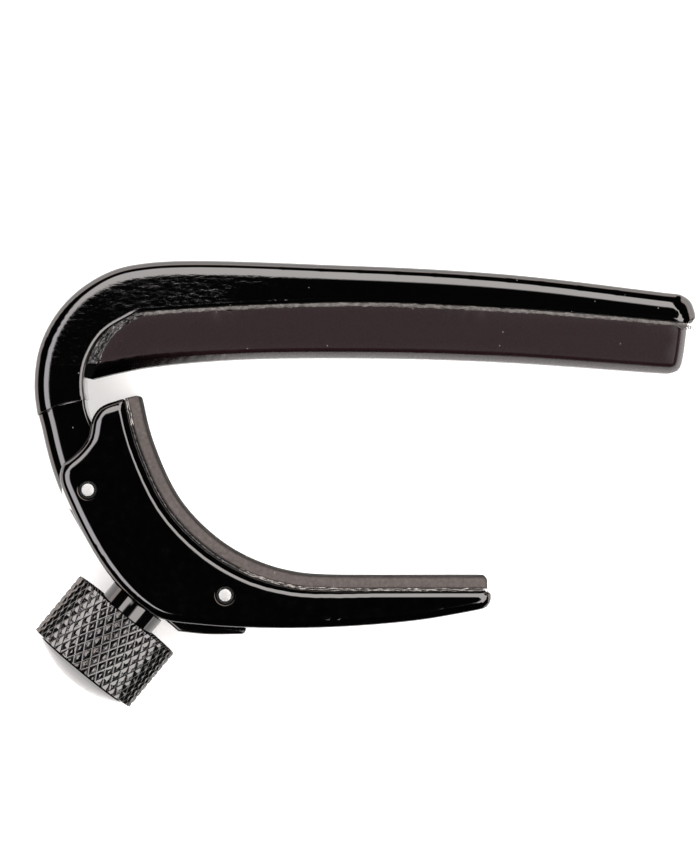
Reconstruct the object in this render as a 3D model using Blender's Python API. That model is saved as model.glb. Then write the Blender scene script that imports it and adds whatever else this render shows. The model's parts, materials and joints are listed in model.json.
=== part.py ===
"""Guitar capo lying on its side.

A C-shaped arm carries the string pad. A channel-shaped jaw with the neck pad pivots on the arm's
tail, and a thumbscrew in the tail pushes the jaw shut through a swivelling foot.
Plan shapes are drawn in millimetres from the pivot pin's centre, and heights from the floor.
"""
import math

import bmesh
import bpy
from mathutils import Matrix, Vector

MM = 0.001

# Driving dimensions, millimetres
PIVOT = (-31.3, -0.65)      # the pivot pin, seen from the point under the middle of the capo
STOP_PIN = (15.5, -11.9)
GAP = 0.1                    # between pieces that touch
PRESS_GAP = 0.05             # between a pressed pin and its hole
JAW_WIDTH = 14.0
CHEEK = 2.0
WEB = 1.7
ARM_WIDTH = 13.2
TAIL_WIDTH = 9.2
PAD_WIDTH = 12.6
NECK_PAD_THICKNESS = 1.35
GLUE_THICKNESS = 0.15
PIN_RADIUS = 0.8
PIN_RECESS = 0.2
COUNTERSINK_RADIUS = 1.2
BUSHING_RADIUS = 1.4
ARM_FILLET = 1.6
MILLED_RADIUS = 10.2         # the full-width arm stops at this radius from the pivot pin

# The screw's axis starts at the middle of the knob's inner face and runs into the jaw
KNOB_FACE = (4.21, -14.25)
SCREW_ANGLE = math.radians(50.4)
KNOB_RADIUS = 6.95
KNOB_LENGTH = 7.9
KNOB_HUB = (-6.3, -5.2)      # solid floor of the knob, measured along the screw
CAP_RADIUS = 5.8
CAP_HEIGHT = 1.9
BARREL_RADIUS = 3.5
BARREL_NECK_RADIUS = 2.9
BARREL_END = -3.5
BARREL_SHOULDER = 2.0
BOSS_FACE = 5.4
SPINDLE_RADIUS = 2.25
SPINDLE_GROOVE = (7.45, 7.95)
FOOT_BACK = 8.1
FOOT_TIP = 9.15
PLATE_FACE = 9.3
PLATE_THICKNESS = 0.8

# Opening spring, a torsion spring coiled round the pivot bushing
WIRE_RADIUS = 0.2
COIL_RADIUS = 1.85
COIL_PITCH = 0.5
COIL_TURNS = 2

MID = JAW_WIDTH / 2


# ---------------------------------------------------------------- curves in plan

def smooth(points, step):
    """A Catmull-Rom curve through the points, sampled about every step."""
    ends = [(2 * points[0][k] - points[1][k]) for k in (0, 1)]
    tail = [(2 * points[-1][k] - points[-2][k]) for k in (0, 1)]
    pts = [Vector(p) for p in [ends, *points, tail]]
    curve = []
    for a, b, c, d in zip(pts, pts[1:], pts[2:], pts[3:]):
        ta = math.sqrt((b - a).length)
        tb = math.sqrt((c - b).length)
        tc = math.sqrt((d - c).length)
        slope_b = ((b - a) / ta - (c - a) / (ta + tb) + (c - b) / tb) * tb
        slope_c = ((c - b) / tb - (d - b) / (tb + tc) + (d - c) / tc) * tb
        count = max(1, round((c - b).length / step))
        for i in range(count):
            t = i / count
            curve.append(
                b * (2 * t**3 - 3 * t**2 + 1) + slope_b * (t**3 - 2 * t**2 + t)
                + c * (3 * t**2 - 2 * t**3) + slope_c * (t**3 - t**2)
            )
    return [tuple(p) for p in curve] + [tuple(points[-1])]


def offset(curve, distance):
    """The curve moved sideways, to the left of its direction when distance is positive."""
    moved = []
    for i, p in enumerate(curve):
        before = Vector(curve[max(i - 1, 0)])
        after = Vector(curve[min(i + 1, len(curve) - 1)])
        along = (after - before).normalized()
        moved.append((p[0] - along.y * distance, p[1] + along.x * distance))
    return moved


def arc(centre, radius, start, end, count):
    """Points on a circle's arc, angles in degrees."""
    angles = [math.radians(start + (end - start) * i / count) for i in range(count + 1)]
    return [(centre[0] + radius * math.cos(a), centre[1] + radius * math.sin(a)) for a in angles]


def edge(curve, fillet, corner=0.0):
    """Outline points whose rims are rounded by fillet. The last point's upright edge takes corner."""
    run = [(x, y, fillet, 0.0) for x, y in curve]
    run[-1] = (*curve[-1], fillet, corner)
    return run


def along_screw(s, q=0.0):
    """The plan point at distance s along the screw's axis and q beside it, towards the pivot."""
    ux, uy = math.cos(SCREW_ANGLE), math.sin(SCREW_ANGLE)
    return (KNOB_FACE[0] + s * ux - q * uy, KNOB_FACE[1] + s * uy + q * ux)


# The arm's outer edge from the tip over the shoulder and down the shank to the tail
ARM_BACK = smooth([(66.9, 22.1), (47.5, 24.35), (28.5, 25.4), (7.0, 25.7), (2.0, 24.5), (-2.4, 21.4),
                   (-5.25, 16.9), (-6.1, 12.0), (-5.45, 7.0), (-3.7, 0.6), (-1.1, -4.5), (2.6, -10.4)], 1.6)
# The arm's inner edge from the tail up to the corner under the shoulder, and along the string pad
ARM_INNER = smooth([(0.2, 8.1), (-0.45, 11.2), (-0.2, 14.2), (1.7, 17.6), (5.6, 20.05)], 1.3)
PAD_SEAT = smooth([(5.6, 20.05), (19.0, 20.85), (33.0, 21.1), (52.0, 20.15), (68.2, 18.75)], 2.6)
# The neck pad's face from the pivot end round the curve and straight to the tip
NECK_FLAT = -9.82
NECK_FACE = smooth([(5.75, 10.7), (7.0, 5.65), (10.2, -1.2), (14.7, -5.8), (19.35, -8.37),
                    (23.9, -9.56), (28.5, NECK_FLAT)], 1.6) + [(45.1, NECK_FLAT)]
PAD_TOTAL = NECK_PAD_THICKNESS + GLUE_THICKNESS + 2 * GAP


# ---------------------------------------------------------------- materials and meshes

def material(name, colour, roughness, metallic=0.0):
    mat = bpy.data.materials.new(name)
    mat.use_nodes = True
    shader = mat.node_tree.nodes["Principled BSDF"]
    shader.inputs["Base Color"].default_value = (*colour, 1.0)
    shader.inputs["Roughness"].default_value = roughness
    shader.inputs["Metallic"].default_value = metallic
    return mat


def add_object(name, bm, mat=None, place=None):
    """Put a mesh drawn in millimetres into the scene at the pivot's origin or at the given place."""
    bmesh.ops.recalc_face_normals(bm, faces=bm.faces[:])
    bmesh.ops.scale(bm, vec=(MM, MM, MM), verts=bm.verts[:])
    mesh = bpy.data.meshes.new(name)
    bm.to_mesh(mesh)
    bm.free()
    obj = bpy.data.objects.new(name, mesh)
    bpy.context.scene.collection.objects.link(obj)
    obj.matrix_world = place or Matrix.Translation((PIVOT[0] * MM, PIVOT[1] * MM, 0))
    if mat:
        mesh.materials.append(mat)
        mesh.shade_smooth()
        mesh.set_sharp_from_angle(angle=math.radians(35))
    return obj


def prism(name, outline, low, high, mat=None, segments=3):
    """An upright slab from plan points (x, y) or (x, y, rim fillet, upright edge radius)."""
    outline = [(*p, 0.0, 0.0)[:4] for p in outline]
    bm = bmesh.new()
    weight = bm.edges.layers.float.new("bevel_weight_edge")
    bottom = [bm.verts.new((x, y, low)) for x, y, _, _ in outline]
    top = [bm.verts.new((x, y, high)) for x, y, _, _ in outline]
    bm.faces.new(bottom[::-1])
    bm.faces.new(top)
    width = max(max(p[2], p[3]) for p in outline)
    for i, (_, _, fillet, corner) in enumerate(outline):
        j = (i + 1) % len(outline)
        bm.faces.new((bottom[i], bottom[j], top[j], top[i]))
        if width:
            bm.edges.get((bottom[i], bottom[j]))[weight] = fillet / width
            bm.edges.get((top[i], top[j]))[weight] = fillet / width
            bm.edges.get((bottom[i], top[i]))[weight] = corner / width
    obj = add_object(name, bm, mat)
    if width:
        bevel = obj.modifiers.new("Fillets", "BEVEL")
        bevel.limit_method = "WEIGHT"
        bevel.width = width * MM
        bevel.segments = segments
        bevel.use_clamp_overlap = False
    return obj


def turned(name, profile, sides, place, mat=None, ring=False):
    """A solid of revolution from (radius, height) points. A ring's profile closes on itself."""
    bm = bmesh.new()
    rows = []
    for radius, height in profile:
        if radius == 0:
            rows.append([bm.verts.new((0, 0, height))] * sides)
        else:
            turns = [2 * math.pi * i / sides for i in range(sides)]
            rows.append([bm.verts.new((radius * math.cos(a), radius * math.sin(a), height)) for a in turns])
    pairs = list(zip(rows, rows[1:])) + ([(rows[-1], rows[0])] if ring else [])
    for lower, upper in pairs:
        for i in range(sides):
            j = (i + 1) % sides
            quad = dict.fromkeys((lower[i], lower[j], upper[j], upper[i]))
            bm.faces.new(list(quad))
    return add_object(name, bm, mat, place)


def block(name, low, high, place=None):
    """A box between two corners."""
    bm = bmesh.new()
    bmesh.ops.create_cube(bm, size=1.0)
    for vert in bm.verts:
        for k in range(3):
            vert.co[k] = high[k] if vert.co[k] > 0 else low[k]
    return add_object(name, bm, None, place)


def combine(obj, operation, *others):
    """Cut the others out of the object, or join them to it."""
    for other in others:
        other.hide_render = True
        other.display_type = "WIRE"
        step = obj.modifiers.new(other.name, "BOOLEAN")
        step.operation = operation
        step.object = other


def split_evenly(obj):
    """Triangles of even shape, so that the large cut faces leave no slivers."""
    step = obj.modifiers.new("Triangles", "TRIANGULATE")
    step.ngon_method = "BEAUTY"


def upright(x, y, z=0.0):
    """Placement at a plan point, measured from the pivot pin."""
    return Matrix.Translation(((PIVOT[0] + x) * MM, (PIVOT[1] + y) * MM, z * MM))


def screw_place():
    """Placement on the screw's axis: local Z runs into the jaw, local Y is up."""
    turn = Matrix.Rotation(SCREW_ANGLE + math.pi / 2, 4, "Z") @ Matrix.Rotation(math.pi / 2, 4, "X")
    return upright(*KNOB_FACE, MID) @ turn


def dome(radius, base, tip, count):
    """Profile points of a shallow cap from its rim at base to its middle at tip."""
    rise = tip - base
    sphere = (radius**2 + rise**2) / (2 * abs(rise))
    half = math.asin(min(1.0, radius / sphere))
    points = []
    for i in range(1, count):
        a = half * (1 - i / count)
        height = sphere * (math.cos(a) - math.cos(half))
        points.append((sphere * math.sin(a), base + math.copysign(height, rise)))
    return points + [(0, tip)]


# ---------------------------------------------------------------- the arm and what it carries

def make_arm(black):
    """Full-width arm down to a milled arc round the pivot, then a narrow tail with boss and tongue."""
    low, high = MID - ARM_WIDTH / 2, MID + ARM_WIDTH / 2
    back = [p for p in ARM_BACK if p[1] > 4]
    outline = edge(back[:-1], ARM_FILLET) + back[-1:] + edge(ARM_INNER[:-1], 0.3) + edge(PAD_SEAT, 0.3)
    outline[-1] = (*PAD_SEAT[-1], ARM_FILLET, 0.2)
    outline += [(68.8, 19.6, ARM_FILLET, 0.4), (68.15, 21.6, ARM_FILLET, 0.7)]
    arm = prism("frame_arm", outline, low, high, black)

    milled = arc((0, 0), MILLED_RADIUS, 0, 180, 24) + [(-MILLED_RADIUS, -30), (30, -30), (30, 0)]
    low, high = MID - TAIL_WIDTH / 2, MID + TAIL_WIDTH / 2
    shank = [p for p in offset(ARM_BACK, 0.12) if p[0] < 5 and p[1] < 11.6]
    boss_inner = [along_screw(BOSS_FACE, -4.6), along_screw(BOSS_FACE, 4.9)]
    tail = edge(shank[:-1], ARM_FILLET) + edge([shank[-1], (8.0, -15.45)], 0.4)
    tail += edge(smooth([(10.2, -16.05), (13.5, -16.4), (17.6, -16.35)], 2.0), 0.4)
    tail += edge(smooth([(17.9, -15.75), (14.4, -15.4), (10.4, -14.8)], 2.0), 0.1)
    tail += edge(boss_inner, 0.1)
    tail += edge(smooth([(3.4, -3.5), (3.2, 0.2), (2.4, 3.6), (0.8, 6.4), (0.0, 8.1), (-0.8, 11.2)], 1.6), 0.2)
    solid_tail = prism("tail_blank", tail, low, high, segments=2)
    combine(arm, "DIFFERENCE", prism("milled_zone", milled, -1, JAW_WIDTH + 1))
    combine(arm, "UNION", solid_tail)

    seat = BARREL_SHOULDER + GAP
    mouth = BARREL_RADIUS + 0.15
    neck = BARREL_NECK_RADIUS + GAP
    barrel_hole = turned("barrel_hole", [(0, -3), (mouth, -3), (mouth, seat), (neck, seat),
                                         (neck, BOSS_FACE + 2), (0, BOSS_FACE + 2)], 40, screw_place())
    bore = BUSHING_RADIUS + GAP
    ceiling = low + 1.3
    coil_pocket = turned("coil_pocket", [(0, 0), (2.55, 0), (2.55, ceiling), (bore, ceiling),
                                         (bore, JAW_WIDTH), (0, JAW_WIDTH)], 32, upright(0, 0))
    rest_slot = block("rest_leg_slot", (-2.7, 0.15, 0), (-0.9, 4.6, ceiling - 0.07), upright(0, 0))
    exit_slot = block("working_leg_slot", (0.1, -2.9, 0), (9, -0.9, low + 0.5),
                      upright(0, 0) @ Matrix.Rotation(spring_exit_angle() + math.pi / 2, 4, "Z"))
    combine(arm, "DIFFERENCE", barrel_hole, coil_pocket, rest_slot, exit_slot)
    split_evenly(arm)
    return arm


def make_string_pad(rubber, glue):
    """Thick pad under the arm. Its pivot end follows the corner, with a fillet of glue behind it."""
    seat = offset(PAD_SEAT[1:-1], -(GLUE_THICKNESS + 2 * GAP))
    under = smooth([(0.3, 12.5), (6.0, 13.75), (16.0, 14.7), (30.5, 14.92), (46.0, 14.5), (65.6, 13.15)], 2.6)
    back = smooth([(5.9, 19.6), (3.05, 17.75), (1.85, 16.0), (1.1, 14.2), under[0]], 1.6)[:-1]
    low, high = MID - PAD_WIDTH / 2, MID + PAD_WIDTH / 2
    outline = edge(under, 0.9) + [(67.0, 13.1, 0.9, 1.2), (67.75, 18.3, 0.3, 0.3)]
    outline += edge(seat[::-1] + back, 0.15)
    prism("string_pad", outline, low, high, rubber, segments=2)

    behind = [(0.1, 14.3)] + offset(ARM_INNER, -GAP)[4:-1] + offset(PAD_SEAT, -GAP)[:-1]
    front = offset(seat[::-1] + back, -GAP)
    prism("string_pad_adhesive", front[::-1] + behind[::-1], low + 0.15, high - 0.15, glue)


def make_barrel(black, seal_rubber):
    """Threaded sleeve fixed in the tail. The knob's counterbore slides over its smooth outside."""
    bore = SPINDLE_RADIUS + GAP
    groove = (BARREL_END + 0.6, BARREL_END + 1.4)
    profile = [(bore, BARREL_END), (BARREL_RADIUS - 0.2, BARREL_END), (BARREL_RADIUS, BARREL_END + 0.2),
               (BARREL_RADIUS, groove[0]), (BARREL_RADIUS - 0.55, groove[0]),
               (BARREL_RADIUS - 0.55, groove[1]), (BARREL_RADIUS, groove[1]),
               (BARREL_RADIUS, BARREL_SHOULDER), (BARREL_NECK_RADIUS, BARREL_SHOULDER),
               (BARREL_NECK_RADIUS, BOSS_FACE - GAP), (bore, BOSS_FACE - GAP)]
    turned("thread_barrel", profile, 40, screw_place(), black, ring=True)
    middle = sum(groove) / 2
    ring = arc((BARREL_RADIUS - 0.16, middle), 0.28, 0, 300, 5)
    turned("barrel_o_ring", ring, 32, screw_place(), seal_rubber, ring=True)


def make_pivot(steel, nylon):
    """Pressed pivot pin, the nylon bushing it turns in, and a washer beside the tail."""
    for name, x, y in (("pivot_pin", 0, 0), ("stop_pin", *STOP_PIN)):
        low, high = PIN_RECESS, JAW_WIDTH - PIN_RECESS
        chamfer = 0.12
        turned(name, [(0, low), (PIN_RADIUS - chamfer, low), (PIN_RADIUS, low + chamfer),
                      (PIN_RADIUS, high - chamfer), (PIN_RADIUS - chamfer, high), (0, high)],
               32, upright(x, y), steel)
    low, high = CHEEK + GAP, JAW_WIDTH - CHEEK - GAP
    bore = PIN_RADIUS + GAP
    turned("pivot_bushing", [(bore, low), (BUSHING_RADIUS, low), (BUSHING_RADIUS, high), (bore, high)],
           32, upright(0, 0), nylon, ring=True)
    low = MID + TAIL_WIDTH / 2 + PRESS_GAP
    high = JAW_WIDTH - CHEEK - PRESS_GAP
    turned("pivot_washer", [(BUSHING_RADIUS + GAP, low), (3.0, low), (3.0, high), (BUSHING_RADIUS + GAP, high)],
           32, upright(0, 0), nylon, ring=True)


# ---------------------------------------------------------------- the jaw and what it carries

def make_jaw(black):
    """Channel with two cheeks round the arm's tail, closed on the neck pad's side, solid at the tip."""
    face = offset(NECK_FACE, -PAD_TOTAL)
    heel = smooth([face[0], (1.4, 9.3), (0.45, 7.9), (0.1, 6.0), (-1.3, 4.1), (-2.75, 2.95)], 1.0)
    belly = smooth([(-2.95, 0.3), (-1.2, -3.6), (1.25, -8.0), (4.4, -11.9), (8.0, -14.45), (12.5, -15.2),
                    (20.5, -15.62), (29.0, -15.45), (37.6, -14.7), (43.4, -13.7)], 1.7)
    outline = edge(heel, 1.1) + [(-3.4, 2.1, 1.3, 1.0)] + edge(belly, 1.3)
    outline += [(45.5, -13.25, 0.9, 0.9), (45.55, face[-1][1], 0.7, 0.4)]
    outline += edge(face[-2:0:-1], 0.7)
    outline[0] = (*face[0], 1.1, 0.3)
    jaw = prism("jaw_channel", outline, 0, JAW_WIDTH, black)

    web = offset(NECK_FACE, -(PAD_TOTAL + WEB))
    ceiling = [p for p in web if p[0] < 20.5]
    start = ceiling[0]
    above = (start[0] - 0.9, start[1] + 5)
    hollow = [above] + ceiling + [(21.5, ceiling[-1][1] - 0.6), (21.5, -25), (-20, -25), (-20, above[1])]
    low, high = CHEEK, JAW_WIDTH - CHEEK
    cutters = [prism("channel_hollow", hollow, low, high)]
    plate_back = PLATE_FACE + PLATE_THICKNESS + GAP
    cutters.append(block("plate_seat", (-3.2, -3.7, BOSS_FACE + 2.5), (3.2, 3.7, plate_back), screw_place()))
    for name, x, y in (("pivot_hole", 0, 0), ("stop_hole", *STOP_PIN)):
        r = PIN_RADIUS + PRESS_GAP
        mouth = COUNTERSINK_RADIUS
        sink = mouth - r
        profile = [(0, -1), (mouth, -1), (mouth, 0), (r, sink), (r, JAW_WIDTH - sink), (mouth, JAW_WIDTH),
                   (mouth, JAW_WIDTH + 1), (0, JAW_WIDTH + 1)]
        cutters.append(turned(name, profile, 32, upright(x, y)))
    combine(jaw, "DIFFERENCE", *cutters)
    split_evenly(jaw)
    return jaw


def make_neck_pad(rubber, glue):
    """Thin pad that follows the jaw's face, on a film of glue."""
    low, high = MID - PAD_WIDTH / 2, MID + PAD_WIDTH / 2
    under = offset(NECK_FACE, -NECK_PAD_THICKNESS)
    outline = edge(under, 0.1) + edge(NECK_FACE[::-1], 0.35)
    prism("neck_pad", outline, low, high, rubber, segments=2)
    top = offset(NECK_FACE, -(NECK_PAD_THICKNESS + GAP))[:-1] + [(44.6, NECK_FLAT - NECK_PAD_THICKNESS - GAP)]
    base = offset(top, -GLUE_THICKNESS)
    prism("neck_pad_adhesive", base + top[::-1], low + 0.15, high - 0.15, glue)


def make_thrust_plate(steel):
    """Hard plate on the channel's floor, where the screw's foot pushes."""
    bm = bmesh.new()
    bmesh.ops.create_cube(bm, size=1.0)
    bmesh.ops.scale(bm, vec=(6.0, 7.0, PLATE_THICKNESS), verts=bm.verts[:])
    bmesh.ops.translate(bm, vec=(0, 0, PLATE_FACE + PLATE_THICKNESS / 2), verts=bm.verts[:])
    bmesh.ops.bevel(bm, geom=bm.edges[:], offset=0.15, segments=1, affect="EDGES")
    add_object("thrust_plate", bm, steel, screw_place())


def spring_target():
    """Where the spring's working leg bears, on the pad's side of the stop pin."""
    pin = Vector(STOP_PIN)
    beside = Vector((-pin.y, pin.x)).normalized()
    return pin + beside * (PIN_RADIUS + WIRE_RADIUS + PRESS_GAP)


def spring_exit_angle():
    """The angle round the coil where the working leg leaves it on a tangent."""
    target = spring_target()
    return math.atan2(target.y, target.x) - math.acos(COIL_RADIUS / target.length)


def make_spring(steel):
    """Torsion spring that opens the jaw: a rest leg in the tail, a coil, a leg to the stop pin."""
    low = CHEEK + 0.15 + WIRE_RADIUS
    high = low + COIL_PITCH * COIL_TURNS
    exit_angle = spring_exit_angle() + 2 * math.pi
    sweep = exit_angle - math.pi + 2 * math.pi * COIL_TURNS
    steps = 34
    path = [Vector((-COIL_RADIUS, y, high)) for y in (4.0, 2.0)]
    for i in range(steps + 1):
        a = math.pi + sweep * i / steps
        path.append(Vector((COIL_RADIUS * math.cos(a), COIL_RADIUS * math.sin(a), high + (low - high) * i / steps)))
    target = spring_target()
    end = Vector((target.x, target.y, low))
    ahead = (end - path[-1]).normalized()
    path += [path[-1].lerp(end, 0.5), end + ahead * WIRE_RADIUS]

    sides = 6
    bm = bmesh.new()
    rings = []
    for i, point in enumerate(path):
        tangent = (path[min(i + 1, len(path) - 1)] - path[max(i - 1, 0)]).normalized()
        across = tangent.cross(Vector((0, 0, 1))).normalized()
        up = across.cross(tangent)
        turns = [2 * math.pi * k / sides for k in range(sides)]
        rings.append([bm.verts.new(point + WIRE_RADIUS * (across * math.cos(a) + up * math.sin(a)))
                      for a in turns])
    for first, second in zip(rings, rings[1:]):
        for k in range(sides):
            bm.faces.new((first[k], first[(k + 1) % sides], second[(k + 1) % sides], second[k]))
    bm.faces.new(rings[0][::-1])
    bm.faces.new(rings[-1])
    add_object("opening_spring", bm, steel)


# ---------------------------------------------------------------- the thumbscrew

def make_knob(black, cap_black, steel):
    """Knurled knob with a counterbore for the barrel, a domed cap, and a screw into the spindle."""
    place = screw_place()
    chamfer = 0.3
    end = -KNOB_LENGTH
    counterbore = BARREL_RADIUS + 0.2
    recess = CAP_RADIUS - 0.8
    shank = SPINDLE_RADIUS - 0.35
    profile = [(counterbore, 0), (KNOB_RADIUS - chamfer, 0), (KNOB_RADIUS, -chamfer),
               (KNOB_RADIUS, end + chamfer), (KNOB_RADIUS - chamfer, end), (recess, end),
               (recess, KNOB_HUB[0]), (shank, KNOB_HUB[0]), (shank, KNOB_HUB[1]), (counterbore, KNOB_HUB[1])]
    turned("knob_grip", profile, 48, place, black, ring=True)

    skirt = recess - GAP
    inner = end + 0.6
    rim = end - GAP
    cap = [(0, inner), (skirt, inner), (skirt, rim), (CAP_RADIUS, rim)]
    turned("knob_cap", cap + dome(CAP_RADIUS, rim - 0.1, end - CAP_HEIGHT, 7), 40, place, cap_black)

    head = KNOB_HUB[0] - GAP
    core = 0.9
    screw = [(0, -3.6), (core, -3.6), (core, head), (2.4, head), (2.4, head - 0.5), (2.0, head - 0.8), (0, head - 0.8)]
    turned("knob_screw", screw, 24, place, steel)


def make_spindle(steel):
    """Threaded spindle fixed to the knob, with a retaining clip, turning in a domed foot."""
    place = screw_place()
    shank = SPINDLE_RADIUS - 0.45
    back = KNOB_HUB[0] + GAP
    hole, hole_end = 1.0, -3.4
    nose = 1.2
    groove = SPINDLE_RADIUS - 0.45
    spindle = [(0, hole_end), (hole, hole_end), (hole, back), (shank, back), (shank, KNOB_HUB[1] + GAP),
               (SPINDLE_RADIUS, KNOB_HUB[1] + GAP), (SPINDLE_RADIUS, SPINDLE_GROOVE[0]),
               (groove, SPINDLE_GROOVE[0]), (groove, SPINDLE_GROOVE[1]), (nose, SPINDLE_GROOVE[1]),
               (nose, FOOT_BACK + 0.6), (0, FOOT_BACK + 0.6)]
    turned("spindle", spindle, 32, place, steel)
    low, high = SPINDLE_GROOVE[0] + PRESS_GAP, SPINDLE_GROOVE[1] - PRESS_GAP
    turned("spindle_clip", [(groove + PRESS_GAP, low), (2.75, low), (2.75, high), (groove + PRESS_GAP, high)],
           32, place, steel, ring=True)
    rim = FOOT_BACK + 0.4
    socket = nose + GAP
    foot = [(0, FOOT_BACK + 0.7), (socket, FOOT_BACK + 0.7), (socket, FOOT_BACK), (2.6, FOOT_BACK), (2.6, rim)]
    turned("thrust_foot", foot + dome(2.6, rim, FOOT_TIP, 5), 32, place, steel)


def main():
    for obj in list(bpy.data.objects):
        bpy.data.objects.remove(obj)
    black = material("gloss_black_paint", (0.006, 0.006, 0.007), 0.12)
    barrel_black = material("polished_black", (0.01, 0.01, 0.011), 0.08, 0.2)
    knurl_black = material("knurled_black_metal", (0.03, 0.028, 0.028), 0.28, 0.9)
    cap_black = material("gloss_black_cap", (0.02, 0.02, 0.02), 0.15)
    steel = material("bare_steel", (0.62, 0.61, 0.60), 0.25, 1.0)
    rubber = material("pad_rubber", (0.035, 0.026, 0.029), 0.55)
    glue = material("dried_adhesive", (0.10, 0.09, 0.08), 0.35)
    nylon = material("nylon", (0.75, 0.73, 0.68), 0.45)
    seal_rubber = material("seal_rubber", (0.012, 0.012, 0.012), 0.5)

    make_arm(black)
    make_string_pad(rubber, glue)
    make_barrel(barrel_black, seal_rubber)
    make_pivot(steel, nylon)
    make_jaw(black)
    make_neck_pad(rubber, glue)
    make_thrust_plate(steel)
    make_spring(steel)
    make_knob(knurl_black, cap_black, steel)
    make_spindle(steel)


main()
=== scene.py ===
import json
import math
import random

import bmesh
import bpy
import numpy as np
from mathutils import Matrix, Vector, noise
from mathutils.geometry import delaunay_2d_cdt


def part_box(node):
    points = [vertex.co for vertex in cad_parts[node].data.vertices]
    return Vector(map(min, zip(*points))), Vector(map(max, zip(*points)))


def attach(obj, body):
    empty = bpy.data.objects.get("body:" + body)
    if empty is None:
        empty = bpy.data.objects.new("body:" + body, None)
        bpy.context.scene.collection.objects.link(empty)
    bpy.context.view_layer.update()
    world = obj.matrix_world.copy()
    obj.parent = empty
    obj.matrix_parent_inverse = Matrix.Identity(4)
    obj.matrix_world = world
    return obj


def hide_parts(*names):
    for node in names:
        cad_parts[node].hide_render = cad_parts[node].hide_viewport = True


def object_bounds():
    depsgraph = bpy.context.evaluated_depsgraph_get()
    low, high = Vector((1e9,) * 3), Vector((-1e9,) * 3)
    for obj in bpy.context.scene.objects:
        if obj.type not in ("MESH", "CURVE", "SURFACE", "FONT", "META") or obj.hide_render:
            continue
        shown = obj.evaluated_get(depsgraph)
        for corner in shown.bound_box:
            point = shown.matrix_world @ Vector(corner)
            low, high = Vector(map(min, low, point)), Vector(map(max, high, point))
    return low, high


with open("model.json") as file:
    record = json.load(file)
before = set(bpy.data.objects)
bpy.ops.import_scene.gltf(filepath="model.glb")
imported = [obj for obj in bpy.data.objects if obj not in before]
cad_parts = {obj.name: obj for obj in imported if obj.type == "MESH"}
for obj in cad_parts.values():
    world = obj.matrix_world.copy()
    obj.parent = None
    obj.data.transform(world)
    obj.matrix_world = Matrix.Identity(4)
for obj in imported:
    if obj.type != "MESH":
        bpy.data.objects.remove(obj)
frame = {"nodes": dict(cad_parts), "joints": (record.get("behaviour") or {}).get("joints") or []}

CAD_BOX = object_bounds()
MM = 0.001
JOINTS = {joint["name"]: joint for joint in frame["joints"]}
PIVOT = Vector(JOINTS["jaw_pivot"]["pos_m"])
SCREW_POINT = Vector(JOINTS["knob_spin"]["pos_m"])
SCREW_AXIS = Vector(JOINTS["knob_spin"]["axis"]).normalized()
SCREW_TURN = SCREW_AXIS.to_track_quat("Z", "Y").to_matrix().to_4x4()
SCREW = Matrix.Translation(SCREW_POINT) @ SCREW_TURN
THREAD_PITCH = 0.8 * MM
CASTING_CUT = 1.8 * MM      # how far below the top the arm's full-width outline is read
TAIL_INSET = 2 * MM         # how much lower than the casting the tail is, on each side
CHEEK = 2 * MM              # thickness of the jaw's two sides
CASTING_RIM = 1.71 * MM     # width of the casting's outer rim
GRID = 1.2 * MM             # spacing of the points inside a cushion
OUTLINE_STEP = 0.5 * MM
RIM_STEPS = 10              # blends between two rims
SEAM_REACH = 0.6 * MM       # how near a pad's outline is to its glue where they touch
BLACK = (0.0002, 0.0002, 0.0002)


# ---------------------------------------------------------------- measures of the frame

def screw_reach(node):
    """A turned node's outer radius, and its two ends along the screw from the knob's inner face."""
    inverse = SCREW.inverted()
    points = [inverse @ v.co for v in frame["nodes"][node].data.vertices]
    radius = max(math.hypot(p.x, p.y) for p in points)
    return radius, min(p.z for p in points), max(p.z for p in points)


def outlines_of(node, height):
    """The closed outlines where a level plane cuts the node, largest first, anticlockwise from above."""
    bm = bmesh.new()
    bm.from_mesh(frame["nodes"][node].data)
    bmesh.ops.remove_doubles(bm, verts=bm.verts[:], dist=1e-7)
    cut = bmesh.ops.bisect_plane(bm, geom=bm.verts[:] + bm.edges[:] + bm.faces[:],
                                 plane_co=(0, 0, height), plane_no=(0, 0, 1))
    links = {}
    for element in cut["geom_cut"]:
        if isinstance(element, bmesh.types.BMEdge):
            a, b = element.verts
            links.setdefault(a, []).append(b)
            links.setdefault(b, []).append(a)
    loops = []
    left = set(links)
    while left:
        here = min(left, key=lambda v: (v.co.x, v.co.y))
        loop = []
        while here:
            loop.append(Vector((here.co.x, here.co.y)))
            left.discard(here)
            here = next((v for v in links[here] if v in left), None)
        loops.append(loop if signed_area(loop) > 0 else loop[::-1])
    bm.free()
    loops.sort(key=signed_area, reverse=True)
    return [without_straight_points(loop) for loop in loops]


def outline_of(node, height):
    """The largest of the node's outlines."""
    return outlines_of(node, height)[0]


def middle_outline(node):
    """The node's largest outline at mid width."""
    low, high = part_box(node)
    return outline_of(node, (low.z + high.z) / 2)


def corners_of(loop):
    """Each point of a closed loop, between the one before and the one after."""
    return zip(loop[-1:] + loop[:-1], loop, loop[1:] + loop[:1])


def milled_radius():
    """The radius round the pivot of the arc that the arm's casting ends at."""
    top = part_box("frame_arm")[1].z
    return min((p - PIVOT.xy).length for p in outline_of("frame_arm", top - CASTING_CUT))


def signed_area(loop):
    """The loop's area, above zero when it runs anticlockwise."""
    return sum(a.x * b.y - b.x * a.y for a, b in zip(loop, loop[1:] + loop[:1])) / 2


def without_straight_points(loop):
    """Leaves out the points that the cut's triangles add on straight runs."""
    kept = []
    for before, here, after in corners_of(loop):
        u, v = here - before, after - here
        if u.length > 1e-7 and v.length > 1e-7 and abs(u.normalized().cross(v.normalized())) > 1e-4:
            kept.append(here)
    return kept


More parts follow.
